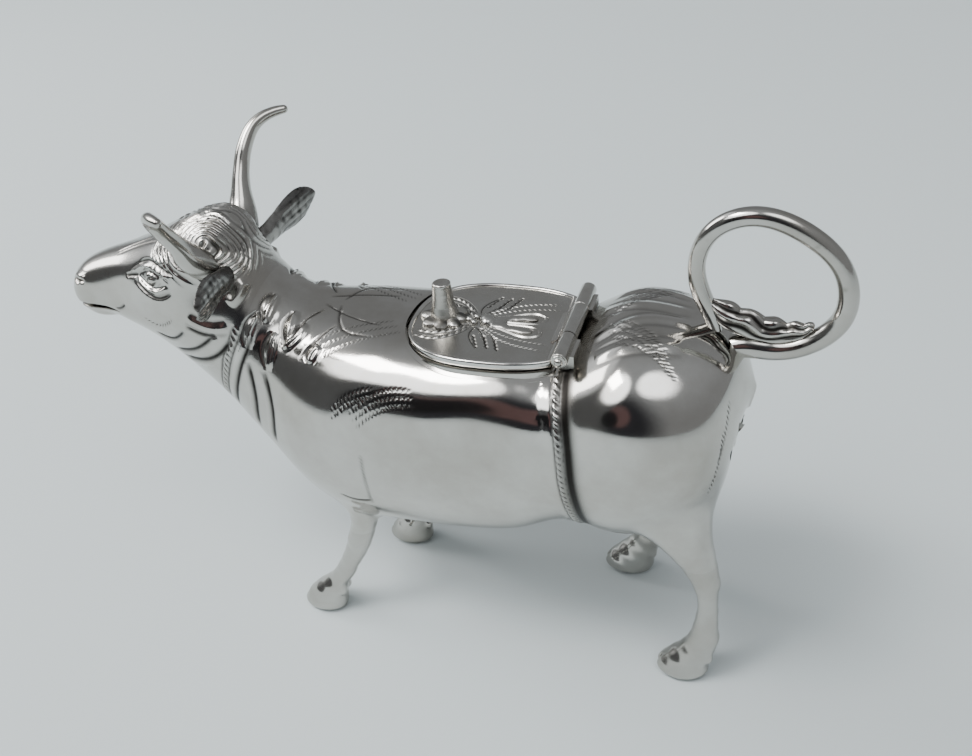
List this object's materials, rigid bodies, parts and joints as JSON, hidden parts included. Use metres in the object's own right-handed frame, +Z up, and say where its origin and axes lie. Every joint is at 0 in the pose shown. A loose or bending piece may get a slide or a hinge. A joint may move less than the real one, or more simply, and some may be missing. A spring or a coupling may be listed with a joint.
{
  "type": "cream jug",
  "caption": "Cow-shaped silver cream jug with a hollow body, a hinged lid in its back, a pouring slit at the mouth and a looped tail as the handle.",
  "frame": {"origin": "middle of the footprint box, on the plane the hooves stand on", "axes": "+X from the nose to the tail, so the cow faces -X; +Y towards the cow's right side; +Z up"},
  "size_m": [0.1383, 0.0459, 0.0918],
  "materials": {
    "silver_sheet": "polished, lightly tarnished",
    "silver_cast": "cast and chased, dark in the recesses",
    "silver_lid": "engraved and lightly worn",
    "silver_hinge": "rolled and worn"
  },
  "bodies": {
    "jug": {"body_left_half": "silver_sheet", "body_right_half": "silver_sheet", "head_casting": "silver_cast", "horn_left": "silver_cast", "horn_right": "silver_cast", "ear_left": "silver_cast", "ear_right": "silver_cast", "front_leg_left": "silver_cast", "front_leg_right": "silver_cast", "rear_leg_left": "silver_cast", "rear_leg_right": "silver_cast", "tail_handle": "silver_cast", "tail_tuft": "silver_cast", "lid_seat_collar": "silver_sheet", "hinge_bearer_left": "silver_hinge", "hinge_bearer_right": "silver_hinge", "hinge_knuckle_left": "silver_hinge", "hinge_knuckle_right": "silver_hinge", "hinge_pin": "silver_hinge"},
    "lid": {"lid_plate": "silver_lid", "lid_rim": "silver_lid", "lid_bezel": "silver_lid", "lid_knob": "silver_lid", "lid_boss": "silver_lid", "lid_ornament": "silver_lid", "hinge_knuckle_lid": "silver_hinge"}
  },
  "joints": [
    {"name": "lid_hinge", "type": "hinge", "parent": "jug", "child": "lid", "pos_m": [0.0256, 0, 0.0652], "axis": [0, 1, 0], "range_deg": [0, 100]}
  ]
}
